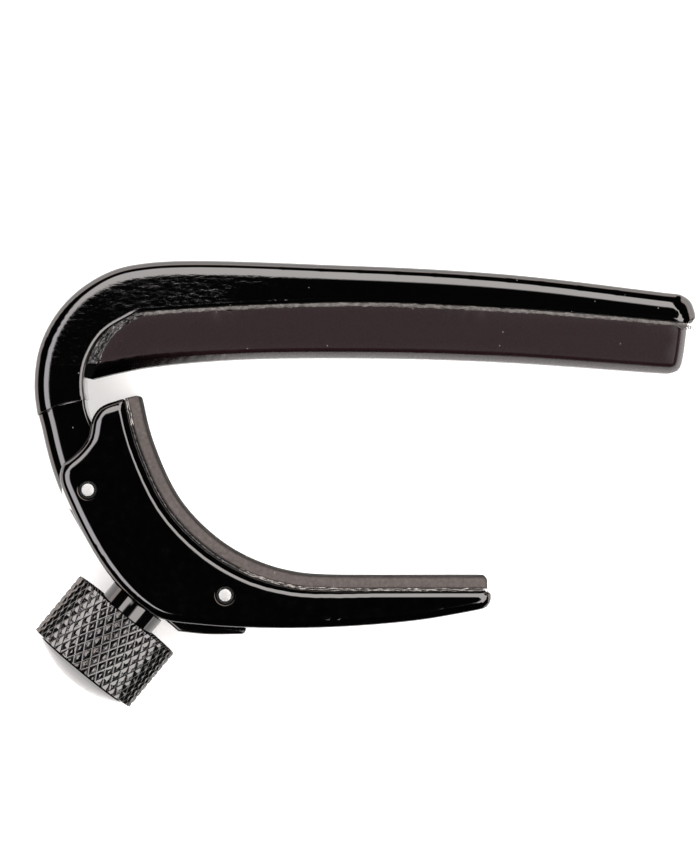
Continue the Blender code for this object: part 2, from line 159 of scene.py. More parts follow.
def run_of(loop, chosen):
    """The first unbroken run of chosen points round the loop."""
    first = next(i for i in range(len(loop)) if chosen[i] and not chosen[i - 1])
    run = []
    while chosen[first % len(loop)]:
        run.append(loop[first % len(loop)])
        first += 1
    return run


# ---------------------------------------------------------------- mesh helpers

def placed(name, data):
    """A new object in the scene."""
    made = bpy.data.objects.new(name, data)
    bpy.context.scene.collection.objects.link(made)
    return made


def mesh_from(name, bm):
    """A mesh with its faces turned outwards."""
    bmesh.ops.recalc_face_normals(bm, faces=bm.faces[:])
    mesh = bpy.data.meshes.new(name)
    bm.to_mesh(mesh)
    bm.free()
    return mesh


def add(name, bm, body, node=None, smooth_angle=40):
    """Makes the mesh an object that rides on a CAD body and stands for a CAD node."""
    mesh = mesh_from(name, bm)
    mesh.shade_smooth()
    mesh.set_sharp_from_angle(angle=math.radians(smooth_angle))
    piece = placed(name, mesh)
    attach(piece, body)
    if node:
        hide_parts(node)
    return piece


def flat_faces_stay_flat(piece):
    """Weights the normals by face size, so that fillets shade round and flats shade flat."""
    step = piece.modifiers.new("Weighted normals", "WEIGHTED_NORMAL")
    step.keep_sharp = True
    step.weight = 100


def polar(radius, angle, height):
    """A point round the Z axis."""
    return Vector((radius * math.cos(angle), radius * math.sin(angle), height))


def turned_rows(bm, profile, sides, place):
    """Rings of vertices from (radius, height) points in metres, turned round the placement's Z."""
    rows = []
    for radius, height in profile:
        if radius == 0:
            rows.append([bm.verts.new(place @ Vector((0, 0, height)))] * sides)
            continue
        spots = [polar(radius, 2 * math.pi * i / sides, height) for i in range(sides)]
        rows.append([bm.verts.new(place @ spot) for spot in spots])
    return rows


def skin(bm, rows, closed):
    """Faces between neighbouring rings, and from the last to the first when closed."""
    for lower, upper in list(zip(rows, rows[1:])) + ([(rows[-1], rows[0])] if closed else []):
        for i in range(len(lower)):
            j = (i + 1) % len(lower)
            corners = list(dict.fromkeys((lower[i], lower[j], upper[j], upper[i])))
            if len(corners) > 2:
                bm.faces.new(corners)


def turned(name, profile, sides, place, body, node=None, closed=False):
    """A turned piece from its (radius, height) profile."""
    bm = bmesh.new()
    skin(bm, turned_rows(bm, profile, sides, place), closed)
    return add(name, bm, body, node)


def rounded(profile, radius, steps=4):
    """The open (radius, height) profile with its inner corners rounded."""
    points = [Vector(p) for p in profile]
    out = [points[0]]
    for before, here, after in zip(points, points[1:], points[2:]):
        reach = min(radius, (here - before).length * 0.45, (after - here).length * 0.45)
        start = here + (before - here).normalized() * reach
        end = here + (after - here).normalized() * reach
        for i in range(steps + 1):
            t = i / steps
            out.append(start * (1 - t) ** 2 + here * 2 * t * (1 - t) + end * t**2)
    out.append(points[-1])
    return [tuple(p) for p in out]


# ---------------------------------------------------------------- material helpers

class Nodes:
    """Short ways to add nodes to a tree."""

    def __init__(self, tree):
        self.tree = tree

    def node(self, kind, **settings):
        """A node with the given input values and properties."""
        made = self.tree.nodes.new(kind)
        for key, value in settings.items():
            if key in made.inputs:
                made.inputs[key].default_value = value
            else:
                setattr(made, key, value)
        return made

    def feed(self, value, target):
        """Sets an input to a number or a colour, or links it to an output."""
        if isinstance(value, (int, float)):
            target.default_value = value
        elif isinstance(value, tuple):
            target.default_value = (*value, 1.0)
        else:
            self.tree.links.new(value, target)

    def maths(self, operation, *values):
        """The result of a math node."""
        made = self.node("ShaderNodeMath", operation=operation)
        for value, target in zip(values, made.inputs):
            self.feed(value, target)
        return made.outputs[0]

    def product(self, first, *others):
        """All the values multiplied together."""
        for other in others:
            first = self.maths("MULTIPLY", first, other)
        return first

    def band(self, value, low, high, out_low=0.0, out_high=1.0, kind="LINEAR"):
        """Maps value from low..high to out_low..out_high, held at the ends."""
        made = self.node("ShaderNodeMapRange", interpolation_type=kind)
        for key, number in (("Value", value), ("From Min", low), ("From Max", high), ("To Min", out_low),
                            ("To Max", out_high)):
            self.feed(number, made.inputs[key])
        return made.outputs["Result"]

    def mix(self, factor, first, second):
        """A colour between two others."""
        made = self.node("ShaderNodeMix", data_type="RGBA")
        for value, target in ((factor, "Factor"), (first, 6), (second, 7)):
            self.feed(value, made.inputs[target])
        return made.outputs[2]

    def part(self, axis, vector):
        """One coordinate of a vector."""
        split = self.node("ShaderNodeSeparateXYZ")
        self.feed(vector, split.inputs["Vector"])
        return split.outputs[axis]


class Finish(Nodes):
    """A material's node tree with its Principled shader."""

    def __init__(self, name, colour, roughness, metallic=0.0, **sockets):
        self.material = bpy.data.materials.new(name)
        self.material.use_nodes = True
        super().__init__(self.material.node_tree)
        self.shader = self.tree.nodes["Principled BSDF"]
        self.set("Base Color", (*colour, 1.0))
        self.set("Roughness", roughness)
        self.set("Metallic", metallic)
        for socket, value in sockets.items():
            self.set(socket.replace("_", " "), value)
        self.place = self.node("ShaderNodeTexCoord").outputs["Object"]

    def set(self, socket, value):
        self.shader.inputs[socket].default_value = value

    def noise(self, size, detail=3.0, rough=0.5, distortion=0.0, stretch=1.0):
        """Noise whose features are about size metres across, and stretch times as long along X."""
        made = self.node("ShaderNodeTexNoise", Scale=1.0 / size, Detail=detail, Roughness=rough,
                         Distortion=distortion)
        squeezed = self.node("ShaderNodeVectorMath", operation="MULTIPLY")
        squeezed.inputs[1].default_value = (1.0 / stretch, 1.0, 1.0)
        self.feed(self.place, squeezed.inputs[0])
        self.feed(squeezed.outputs["Vector"], made.inputs["Vector"])
        return made.outputs["Fac"]

    def specks(self, spacing, edge, core):
        """1 in small dots about spacing metres apart, and 0 beyond their edge."""
        made = self.node("ShaderNodeTexVoronoi", Scale=1.0 / spacing)
        self.feed(self.place, made.inputs["Vector"])
        return self.band(made.outputs["Distance"], edge, core)

    def at(self, axis):
        """The place along an axis, in metres."""
        return self.part(axis, self.place)

    def normal(self, axis):
        """The surface normal's share along an axis."""
        return self.part(axis, self.node("ShaderNodeNewGeometry").outputs["Normal"])

    def level_distance(self, x, y):
        """How far the place is from a point, seen from above."""
        across = self.maths("SUBTRACT", self.at("X"), x)
        along = self.maths("SUBTRACT", self.at("Y"), y)
        return self.maths("SQRT", self.maths("ADD", self.product(across, across), self.product(along, along)))

    def paint(self, colour):
        self.feed(colour, self.shader.inputs["Base Color"])

    def painted(self):
        """The output that feeds the base colour now."""
        return self.shader.inputs["Base Color"].links[0].from_socket

    def gloss(self, roughness):
        self.feed(roughness, self.shader.inputs["Roughness"])

    def bump(self, height, depth):
        """Bump whose full height is depth metres."""
        made = self.node("ShaderNodeBump", Strength=1.0, Distance=depth)
        self.feed(height, made.inputs["Height"])
        self.feed(made.outputs["Normal"], self.shader.inputs["Normal"])


def dress(piece, finish):
    """Gives the piece its material."""
    piece.data.materials.clear()
    piece.data.materials.append(finish.material)
    return piece


# ---------------------------------------------------------------- materials

def cast_black_paint():
    """Gloss black over a cast surface. The peel is strong on the shoulder and dies out to both ends."""
    paint = Finish("cast_black_paint", BLACK, 0.06, IOR=1.52)
    level = paint.maths("ABSOLUTE", paint.normal("Z"))
    flat = paint.band(level, 0.955, 0.995)
    peel = paint.noise(0.42 * MM, detail=4.0, rough=0.6, distortion=0.5, stretch=2.2)
    upper = paint.band(paint.at("Y"), PIVOT.y + 9 * MM, PIVOT.y + 17 * MM, 0.15, 1.0)
    shoulder = paint.band(paint.at("X"), PIVOT.x + 30 * MM, PIVOT.x + 14 * MM, 0.1, 1.0)
    patch = paint.band(paint.noise(6 * MM, detail=2.0), 0.35, 0.65, 0.6, 1.0)
    paint.bump(paint.product(paint.band(peel, 0.3, 0.75), flat, upper, shoulder, patch), 0.014 * MM)

    # the milled step's wall is dull in patches
    away = paint.level_distance(PIVOT.x, PIVOT.y)
    off_step = paint.maths("ABSOLUTE", paint.maths("SUBTRACT", away, milled_radius()))
    patch = paint.band(paint.noise(0.9 * MM, detail=2.0), 0.45, 0.55, 0.1, 1.0)
    worn = paint.product(paint.band(off_step, 0.2 * MM, 0.1 * MM), paint.band(paint.normal("Y"), -0.15, -0.5),
                         patch)
    paint.gloss(paint.band(worn, 0.0, 1.0, 0.06, 0.9))

    # painted reflection: steep walls get a warm brown base colour that stands in for the warm light they
    # reflect
    base = paint.mix(paint.band(level, 0.5, 0.2), BLACK, (0.016, 0.007, 0.004))
    dust = paint.product(paint.specks(2.1 * MM, 0.040, 0.028), 0.5)
    paint.paint(paint.mix(dust, base, (0.2, 0.19, 0.18)))
    return paint


def smooth_black_paint():
    """The jaw's polished gloss, with a faint long wave and small rubbed patches."""
    paint = Finish("smooth_black_paint", BLACK, 0.05, IOR=1.52)
    paint.bump(paint.noise(6 * MM, detail=1.0), 0.004 * MM)
    paint.gloss(paint.band(paint.noise(0.9 * MM, detail=4.0), 0.35, 0.75, 0.035, 0.09))
    return paint


def polished_black():
    """The barrel's polished finish, which the clear glue shares."""
    metal = Finish("polished_black", (0.001, 0.001, 0.001), 0.05, IOR=1.5)
    metal.gloss(metal.band(metal.noise(1.2 * MM, detail=3.0), 0.4, 0.7, 0.03, 0.08))
    return metal


def knurled_black():
    """The grip's gloss black, with small worn patches."""
    metal = Finish("knurled_black", (0.002, 0.002, 0.002), 0.09, IOR=1.6)
    speck = metal.noise(0.35 * MM, detail=3.0)
    metal.paint(metal.mix(metal.band(speck, 0.5, 0.8), (0.001, 0.001, 0.001), (0.012, 0.0115, 0.011)))
    metal.gloss(metal.band(metal.noise(0.6 * MM), 0.3, 0.7, 0.03, 0.09))
    metal.bump(speck, 0.016 * MM)
    return metal


def cap_black():
    """The knob's domed end: smooth gloss with fine handling marks."""
    paint = Finish("cap_black", (0.004, 0.004, 0.004), 0.16, IOR=1.9)
    paint.gloss(paint.band(paint.noise(0.5 * MM, detail=5.0), 0.35, 0.7, 0.12, 0.24))
    paint.bump(paint.noise(3 * MM, detail=1.0), 0.01 * MM)
    return paint


def bright_steel():
    """Satin steel for pins and screws."""
    metal = Finish("bright_steel", (0.185, 0.187, 0.185), 0.42, metallic=0.85)
    metal.gloss(metal.band(metal.noise(0.25 * MM, detail=3.0), 0.3, 0.7, 0.36, 0.55))
    metal.bump(metal.noise(0.1 * MM, detail=2.0), 0.006 * MM)
    return metal


def rubber_finish(name, dark, light, roughness, ior):
    """Brown-black rubber with fine mottling and lint."""
    rubber = Finish(name, dark, roughness, IOR=ior)
    mottle = rubber.noise(0.4 * MM, detail=5.0, rough=0.65)
    base = rubber.mix(rubber.band(mottle, 0.3, 0.7), dark, light)
    lint = rubber.product(rubber.specks(1.9 * MM, 0.040, 0.026), 0.35)
    rubber.paint(rubber.mix(lint, base, (0.34, 0.31, 0.29)))
    rubber.gloss(rubber.band(mottle, 0.3, 0.7, roughness + 0.03, roughness - 0.03))
    rubber.bump(rubber.noise(0.3 * MM, detail=4.0), 0.005 * MM)
    return rubber


def pad_rubber():
    """The string pad's rubber, with painted shade under the end next to the pivot."""
    rubber = rubber_finish("pad_rubber", (0.0032, 0.0010, 0.0014), (0.0090, 0.0042, 0.0052), 0.27, 1.2)
    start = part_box("string_pad")[0].x
    near_pivot = rubber.band(rubber.at("X"), start + 14 * MM, start + 4 * MM)
    under = rubber.band(rubber.normal("Y"), -0.25, -0.45)
    # painted shade: the underside next to the pivot is painted near-black
    rubber.paint(rubber.mix(rubber.product(near_pivot, under), rubber.painted(), (0.0002, 0.0001, 0.0001)))
    return rubber


def cut_rubber():
    """The neck pad's rubber: the same, but dulled by cutting, with painted shade round its sloped edge."""
    dull = 0.6
    rubber = rubber_finish("cut_rubber", (0.022, 0.018, 0.016), (0.048, 0.040, 0.037), dull, 1.3)
    flat = rubber.band(rubber.maths("ABSOLUTE", rubber.normal("Z")), 0.6, 0.95)
    # painted shade: faces that slope away from level are painted near-black
    rubber.paint(rubber.mix(flat, (0.002, 0.0016, 0.0015), rubber.painted()))
    rubber.gloss(rubber.band(flat, 0.0, 1.0, 1.0, dull))
    return rubber


def dried_glue():
    """Dark where it is thick and clear, pale where it has frayed."""
    glue = Finish("dried_glue", (0.02, 0.018, 0.017), 0.2)
    patches = glue.noise(0.5 * MM, detail=5.0, rough=0.7)
    glue.paint(glue.mix(glue.band(patches, 0.60, 0.68), (0.003, 0.0025, 0.0025), (0.13, 0.12, 0.11)))
    glue.gloss(glue.band(patches, 0.4, 0.7, 0.12, 0.5))
    glue.bump(patches, 0.03 * MM)
    return glue


def frayed_glue(name, dark, light):
    """Glue that has dried pale and stringy."""
    glue = Finish(name, light, 0.4, IOR=1.4)
    patches = glue.noise(0.45 * MM, detail=5.0, rough=0.7)
    glue.paint(glue.mix(glue.band(patches, 0.40, 0.62), dark, light))
    glue.bump(patches, 0.04 * MM)
    return glue


def white_nylon():
    """Moulded nylon, slightly cloudy."""
    nylon = Finish("white_nylon", (0.74, 0.72, 0.67), 0.42)
    nylon.bump(nylon.noise(0.3 * MM), 0.01 * MM)
    return nylon


def seal():
    """Black O-ring rubber."""
    rubber = Finish("seal", (0.012, 0.012, 0.012), 0.5)
    rubber.bump(rubber.noise(0.2 * MM), 0.01 * MM)
    return rubber


# ---------------------------------------------------------------- knob

def knurled_skin(bm, radius, low, high, around=40, period=1.87 * MM):
    """Diamonds with rounded grooves between them, on a cylinder round the screw."""
    depth = 0.27 * MM
    ticks = (0.0, 0.05, 0.11, 0.24, 0.36, 0.5, 0.64, 0.76, 0.89, 0.95, 1.0)
    reach = (0.0, 0.05, 0.11, 0.36, 0.5)        # from the groove's middle to the diamond's
    rise = (0.0, 0.03, 0.15, 0.90, 1.0)
    last = len(ticks) - 1
    bands = int((high - low) / period) + 3
    start = low - period
    grid = {}

    def spot(a, b):
        """Vertex at a point of the two groove counts. Once round adds the same to both."""
        key = (round((a - b) * 1000), round((a + b) * 1000) % (2000 * around))
        if key not in grid:
            near = min(abs(a - round(a)), abs(b - round(b)))
            r = radius - depth * (1 - np.interp(near, reach, rise))
            angle = math.pi * (a + b) / around
            grid[key] = bm.verts.new(polar(r, angle, start + (a - b) / 2 * period))
        return grid[key]

    for d in range(2 * bands):
        for e in range(d % 2, 2 * around, 2):
            a, b = (e + d) // 2, (e - d) // 2
            for i in range(last):
                for j in range(last):
                    corners = [spot(a + ticks[m], b + ticks[n]) for m, n in
                               ((i, j), (i + 1, j), (i + 1, j + 1), (i, j + 1))]
                    if i == j:
                        bm.faces.new((corners[0], corners[1], corners[2]))
                        bm.faces.new((corners[0], corners[2], corners[3]))
                    elif i + j == last - 1:
                        bm.faces.new((corners[0], corners[1], corners[3]))
                        bm.faces.new((corners[1], corners[2], corners[3]))
                    else:
                        bm.faces.new(corners)
    for height, outward in ((low, -1), (high, 1)):
        bmesh.ops.bisect_plane(bm, geom=bm.verts[:] + bm.edges[:] + bm.faces[:], plane_co=(0, 0, height),
                               plane_no=(0, 0, outward), clear_outer=True)


def end_loop(bm, height):
    """The open edge's vertices at this height, in order round the axis."""
    rim = {v for e in bm.edges if e.is_boundary for v in e.verts if abs(v.co.z - height) < 1e-7}
    return sorted(rim, key=lambda v: math.atan2(v.co.y, v.co.x))


def make_knob(finish):
    """The knurled grip, with a counterbore for the barrel and a recess under the cap."""
    radius, low, high = screw_reach("knob_grip")
    bm = bmesh.new()
    knurled_skin(bm, radius, low, high)
    counterbore = screw_reach("thread_barrel")[0] + 0.2 * MM
    recess = 5.0 * MM
    rings = {high: [(-0.5 * MM, 6.2 * MM), (-0.5 * MM, counterbore), (-5.2 * MM, counterbore)],
             low: [(0, 6.3 * MM), (0, recess), (1.5 * MM, recess)]}
    for height, steps in rings.items():
        loop = end_loop(bm, height)
        rows = [loop]
        for rise, ring_radius in steps:
            rows.append([bm.verts.new(polar(ring_radius, math.atan2(v.co.y, v.co.x), height + rise))
                         for v in loop])
        skin(bm, rows, False)
        bm.faces.new(rows[-1])
    bmesh.ops.transform(bm, matrix=SCREW, verts=bm.verts[:])
    dress(add("knurled_knob", bm, "thumbscrew", "knob_grip", smooth_angle=28), finish)


def make_knob_cap(finish):
    """The domed cap, with a small lip where it meets the grip."""
    radius, low, high = screw_reach("knob_cap")
    seat = screw_reach("knob_grip")[1] - 0.1 * MM
    rise = seat - low
    sphere = (radius**2 + rise**2) / (2 * rise)
    half = math.asin(radius / sphere)
    lip = 0.25 * MM
    profile = [(4.8 * MM, high), (4.8 * MM, seat), (radius - lip, seat), (radius, seat - lip * 0.6)]
    for i in range(1, 21):
        a = half * (1 - i / 20)
        height = seat - lip - (rise - lip) * (math.cos(a) - math.cos(half)) / (1 - math.cos(half))
        profile.append((sphere * math.sin(a) * 0.995, height))
    profile[-1] = (0, low)
    dress(turned("domed_cap", [(0, high)] + profile, 96, SCREW, "thumbscrew", "knob_cap"), finish)


def make_barrel(finish):
    """The sleeve, with its wider part between knob and tail and its neck in the tail."""
    radius, low, high = screw_reach("thread_barrel")
    bore = screw_reach("spindle")[0] + 0.1 * MM
    neck = 2.9 * MM
    shoulder = 2.0 * MM
    profile = rounded([(bore, low + 0.5 * MM), (bore, low), (radius, low), (radius, shoulder),
                       (neck, shoulder), (neck, high), (bore, high), (bore, low + 1 * MM)], 0.15 * MM)
    dress(turned("smooth_barrel", profile, 128, SCREW, "arm", "thread_barrel", closed=True), finish)


def make_spindle(finish):
    """Threaded spindle. The thread is a real helix, right-handed."""
    radius, low, high = screw_reach("spindle")
    start, end = -5.1 * MM, 7.45 * MM
    sides, per_turn = 24, 6
    depth = 0.36 * MM
    shank, nose = 1.8 * MM, 1.2 * MM
    bm = bmesh.new()
    rows = turned_rows(bm, [(0, low), (shank, low), (shank, start)], sides, Matrix())
    count = int((end - start) / THREAD_PITCH * per_turn)
    for k in range(count + 1):
        s = start + (end - start) * k / count
        row = []
        for i in range(sides):
            phase = (s / THREAD_PITCH - i / sides) % 1.0
            row.append(bm.verts.new(polar(radius - depth * abs(2 * phase - 1), 2 * math.pi * i / sides, s)))
        rows.append(row)
    step = end + 0.5 * MM
    rows += turned_rows(bm, [(shank, end), (shank, step), (nose, step), (nose, high), (0, high)], sides,
                        Matrix())
    skin(bm, rows, False)
    bmesh.ops.transform(bm, matrix=SCREW, verts=bm.verts[:])
    dress(add("threaded_spindle", bm, "thumbscrew", "spindle", smooth_angle=50), finish)


def make_pin(node, finish):
    """A dowel with domed ends."""
    low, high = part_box(node)
    middle = (low + high) / 2
    radius = (high.x - low.x) / 2
    crown = 0.08 * MM
    profile = [(0, low.z), (radius * 0.55, low.z + crown * 0.3), (radius * 0.86, low.z + crown),
               (radius, low.z + 0.25 * MM)]
    profile += [(r, low.z + high.z - z) for r, z in profile[::-1]]
    place = Matrix.Translation((middle.x, middle.y, 0))
    dress(turned(node + "_dowel", profile, 48, place, "jaw", node), finish)


# ---------------------------------------------------------------- arm and jaw

def facing(loop):
    """The outward direction of each edge of an anticlockwise outline, in degrees, and its middle."""
    out = []
    for a, b in zip(loop, loop[1:] + loop[:1]):
        along = b - a
        out.append((math.degrees(math.atan2(-along.x, along.y)), (a + b) / 2))
    return out


def heading(azimuth):
    """The level unit vector at an azimuth in degrees."""
    return Vector((math.cos(math.radians(azimuth)), math.sin(math.radians(azimuth))))


def turn_between(azimuth, other):
    """The angle between two azimuths, in degrees."""
    return abs((azimuth - other + 180) % 360 - 180)


def make_arm(finish):
    """The casting ends at an arc milled round the pivot. The narrower tail goes on from there."""
    low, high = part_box("frame_arm")
    pivot = PIVOT.xy
    raw = outline_of("frame_arm", high.z - CASTING_CUT)
    radius = milled_radius()
    loop = resampled(raw, OUTLINE_STEP)
    throat = pivot + Vector((20 * MM, 8 * MM))
    kinds = []
    for azimuth, middle in facing(loop):
        outward = heading(azimuth)
        if abs((middle - pivot).length - radius) < 0.06 * MM and outward.dot(pivot - middle) > 0:
            kinds.append("milled")
        elif outward.dot(throat - middle) > 0:
            kinds.append("inner")
        elif middle.x > high.x - 3 * MM and -5 < azimuth < 62:
            kinds.append("end")
        else:
            to_left = held((60 - turn_between(azimuth, 190)) / 40)
            to_tip = held((middle.x - PIVOT.x - 20 * MM) / (42 * MM))
            kinds.append(round(RIM_STEPS * max(to_left, to_tip)))
    rims = {"end": (STEEP_RIM, 1.9 * MM), "inner": (PAINTED_RIM, 0.5 * MM), "milled": (ROUND_RIM, 0.004 * MM)}
    for k in range(RIM_STEPS + 1):
        rims[k] = (blend(PAINTED_RIM, WIDE_RIM, k / RIM_STEPS), CASTING_RIM)
    casting = cushion(loop, kinds, rims, low.z, high.z, GRID)
    dress(add("arm_casting", casting, "arm", "frame_arm"), finish)

    tail = cushion(*tail_outline(throat, radius), low.z + TAIL_INSET, high.z - TAIL_INSET, GRID)
    arc = [p for p in raw if abs((p - pivot).length - radius) < 0.02 * MM]
    arc.sort(key=lambda p: math.atan2(p.y - pivot.y, p.x - pivot.x))
    arc = [pivot + (p - pivot) * (1 - 0.01 * MM / radius) for p in arc]
    right, left = arc[0], arc[-1]
    below = pivot.y - 40 * MM
    keep = arc + [Vector((left.x - 20 * MM, left.y)), Vector((left.x - 20 * MM, below)),
                  Vector((right.x + 40 * MM, below)), Vector((right.x + 40 * MM, right.y))]
    tail = carved(tail, "INTERSECT", prism(keep, -1 * MM, high.z + 5 * MM))
    tail = carved(tail, "DIFFERENCE", *tail_holes(low.z + TAIL_INSET))
    dress(add("arm_tail", tail, "arm", "frame_arm", smooth_angle=35), finish)


def tail_outline(throat, milled):
    """The tail's outline at mid width, closed across the screw's bore, with its rims."""
    low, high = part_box("frame_arm")
    across = Vector((-SCREW_AXIS.y, SCREW_AXIS.x))
    chains = []
    for loop in outlines_of("frame_arm", (low.z + high.z) / 2)[:2]:
        loop = [p for p in loop if abs((p - PIVOT.xy).length - milled) > 0.1 * MM]
        at_bore = []
        for p in loop:
            away = p - SCREW_POINT.xy
            at_bore.append(abs(away.dot(across)) < 3.75 * MM and abs(away.dot(SCREW_AXIS.xy)) < 12 * MM)
        first = next(i for i in range(len(loop)) if at_bore[i - 1] and not at_bore[i])
        turned_loop = loop[first:] + loop[:first]
        chains.append([p for p, bore in zip(turned_loop, at_bore[first:] + at_bore[:first]) if not bore])
    chains = [[Vector(p) for p in rounded(chain, 0.9 * MM)] for chain in chains]
    loop = resampled(chains[0] + chains[1], OUTLINE_STEP)
    kinds = []
    for azimuth, middle in facing(loop):
        behind = heading(azimuth).dot(throat - middle) < 0 and (middle - SCREW_POINT.xy).dot(across) > 0
        kinds.append("back" if behind else "thin")
    return loop, kinds, {"back": (WIDE_RIM, CASTING_RIM), "thin": (ROUND_RIM, 0.3 * MM)}


def box_between(low, high, place):
    """A box between two corners, moved to its place."""
    (x0, y0, z0), (x1, y1, z1) = low, high
    bm = prism([Vector(corner) for corner in ((x0, y0), (x1, y0), (x1, y1), (x0, y1))], z0, z1)
    bmesh.ops.transform(bm, matrix=place, verts=bm.verts[:])
    return bm


def tail_holes(low):
    """The screw's bore, the pocket of the spring's coil and the slots for its two legs."""
    mouth = screw_reach("thread_barrel")[0] + 0.15 * MM
    neck = 3.0 * MM
    start, step, end = -3 * MM, 2.1 * MM, 7.4 * MM
    bore = bmesh.new()
    profile = [(0, start), (mouth, start), (mouth, step), (neck, step), (neck, end), (0, end)]
    skin(bore, turned_rows(bore, profile, 64, SCREW), False)
    ceiling = low + 1.3 * MM
    round_pin = Matrix.Translation((PIVOT.x, PIVOT.y, 0))
    pocket = bmesh.new()
    coil_room, pin_room, beyond = 2.55 * MM, 1.5 * MM, 20 * MM
    profile = [(0, 0), (coil_room, 0), (coil_room, ceiling), (pin_room, ceiling), (pin_room, beyond),
               (0, beyond)]
    skin(pocket, turned_rows(pocket, profile, 48, round_pin), False)
    rest = box_between((-2.7 * MM, 0.15 * MM, 0), (-0.9 * MM, 4.6 * MM, ceiling - 0.07 * MM), round_pin)
    coil = 1.85 * MM
    spring = frame["nodes"]["opening_spring"].data
    leg_end = max((v.co.xy - PIVOT.xy for v in spring.vertices), key=lambda v: v.length)
    turn = math.atan2(leg_end.y, leg_end.x) + math.asin(coil / leg_end.length)
    leg = box_between((0.1 * MM, -2.9 * MM, 0), (9 * MM, -0.9 * MM, low + 0.5 * MM),
                      round_pin @ Matrix.Rotation(turn, 4, "Z"))
    return bore, pocket, rest, leg


def pin_hole(node, low, high):
    """The hole a pin sits in, with its countersunk mouths."""
    a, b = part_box(node)
    middle = (a + b) / 2
    radius = (b.x - a.x) / 2 + 0.05 * MM
    mouth = 1.2 * MM
    sink = mouth - radius
    profile = [(0, low - MM), (mouth, low - MM), (mouth, low), (radius, low + sink), (radius, high - sink),
               (mouth, high), (mouth, high + MM), (0, high + MM)]
    bm = bmesh.new()
    skin(bm, turned_rows(bm, profile, 64, Matrix.Translation((middle.x, middle.y, 0))), False)
    return bm


def make_jaw(finish):
    """The channel round the tail: an outer cushion, less the room between the cheeks and the pins' holes."""
    low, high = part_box("jaw_channel")
    raw = outline_of("jaw_channel", low.z + 1.7 * MM)
    loop = resampled(raw, OUTLINE_STEP)
    gaps = gaps_to([middle for _, middle in facing(loop)], middle_outline("neck_pad_adhesive"))
    kinds = []
    for (azimuth, middle), gap in zip(facing(loop), gaps):
        under = held((62 - turn_between(azimuth, -90)) / 40)
        down = held((PIVOT.y + 6 * MM - middle.y) / (14 * MM))
        down += held((middle.x - PIVOT.x - 18 * MM) / (14 * MM))
        kinds.append(f"face{round(RIM_STEPS * down)}" if gap < 0.5 * MM else round(RIM_STEPS * under))
    rims = {}
    for k in range(RIM_STEPS + 1):
        share = k / RIM_STEPS
        rims[k] = (blend(PAINTED_RIM, PLAIN_RIM, share), (1.15 - 0.25 * share) * MM)
        rims[f"face{k}"] = (blend(THIN_FACE_RIM, FACE_RIM, share), 1.0 * MM)
        rims[f"face{k + RIM_STEPS}"] = (blend(FACE_RIM, TIP_FACE_RIM, share), (1.0 - 0.35 * share) * MM)
    body = cushion(loop, kinds, rims, low.z, high.z, GRID)

    web = middle_outline("jaw_channel")
    chain = run_of(web, gaps_to(web, raw) > 0.15 * MM)
    if chain[0].y < chain[-1].y:
        chain.reverse()
    top, bottom = chain[0], chain[-1]
    left, below = low.x - 20 * MM, bottom.y - 12 * MM
    above = top + (top - chain[1]).normalized() * 5 * MM
    room = [above, *chain, Vector((bottom.x, below)), Vector((left, below)), Vector((left, above.y))]
    hollow = prism(room, low.z + CHEEK, high.z - CHEEK)
    holes = [pin_hole(node, low.z, high.z) for node in ("pivot_pin", "stop_pin")]
    jaw = carved(body, "DIFFERENCE", hollow, *holes)
    dress(add("jaw_body", jaw, "jaw", "jaw_channel", smooth_angle=35), finish)


# ---------------------------------------------------------------- rims and cushions

# Rims: (share of the rim's width, tilt in degrees) from the edge inwards
PAINTED_RIM = [(0.0, 88), (0.02, 74), (0.06, 66), (0.11, 59), (0.17, 52), (0.23, 46.5), (0.29, 41),
               (0.34, 34), (0.39, 28), (0.44, 22), (0.54, 19), (0.66, 15), (0.78, 11), (0.90, 7), (1.0, 3.5),
               (1.1, 0)]
ROUND_RIM = [(0.0, 88), (0.01, 82), (0.04, 74), (0.09, 65.5), (0.16, 57), (0.25, 48.6), (0.36, 39.8),
             (0.5, 30), (0.65, 20.5), (0.82, 10.4), (1.0, 0)]
STEEP_RIM = [(0.0, 88), (0.01, 80), (0.05, 69), (0.11, 60), (0.19, 52.5), (0.28, 46), (0.38, 41), (0.45, 37),
             (0.60, 33), (0.80, 28.5), (0.93, 25), (0.965, 12), (1.0, 0)]
WIDE_RIM = [(0.0, 88), (0.02, 74), (0.05, 66), (0.09, 59), (0.13, 52), (0.18, 46.5), (0.23, 41), (0.35, 34),
            (0.47, 28), (0.58, 22), (0.66, 19), (0.75, 15), (0.84, 11), (0.92, 7), (1.0, 3.5), (1.1, 0)]
PLAIN_RIM = [(0.0, 88), (0.02, 66), (0.05, 46), (0.12, 40), (0.20, 38), (0.28, 36.5), (0.35, 35),
             (0.45, 33.3), (0.55, 31.6), (0.65, 30), (0.75, 28), (0.85, 26), (0.90, 22), (0.94, 16),
             (0.98, 9), (1.0, 0)]
THIN_FACE_RIM = [(0.0, 88), (0.005, 60), (0.01, 38), (0.60, 30), (0.71, 22), (0.78, 14), (0.86, 6),
                 (1.0, 0)]
FACE_RIM = [(0.0, 88), (0.005, 60), (0.01, 38), (0.50, 30), (0.60, 22), (0.74, 14), (0.90, 6), (1.0, 0)]
TIP_FACE_RIM = [(0.0, 88), (0.005, 60), (0.01, 38), (0.22, 30), (0.30, 22), (0.55, 14), (0.90, 6.5),
                (1.0, 0)]
PAD_RIM = [(0.0, 86), (0.03, 73), (0.55, 69), (0.60, 50), (0.68, 40), (0.80, 30), (0.95, 22), (1.0, 0)]
DARK_RIM = [(0.0, 70), (0.03, 55), (0.55, 44), (0.60, 41), (0.68, 38), (0.80, 32), (0.95, 25), (1.0, 0)]


def blend(first, second, share):
    """A rim between two others of the same length."""
    return [(a[0] + (b[0] - a[0]) * share, a[1] + (b[1] - a[1]) * share) for a, b in zip(first, second)]


def held(value):
    """The value kept between 0 and 1."""
    return min(max(value, 0.0), 1.0)


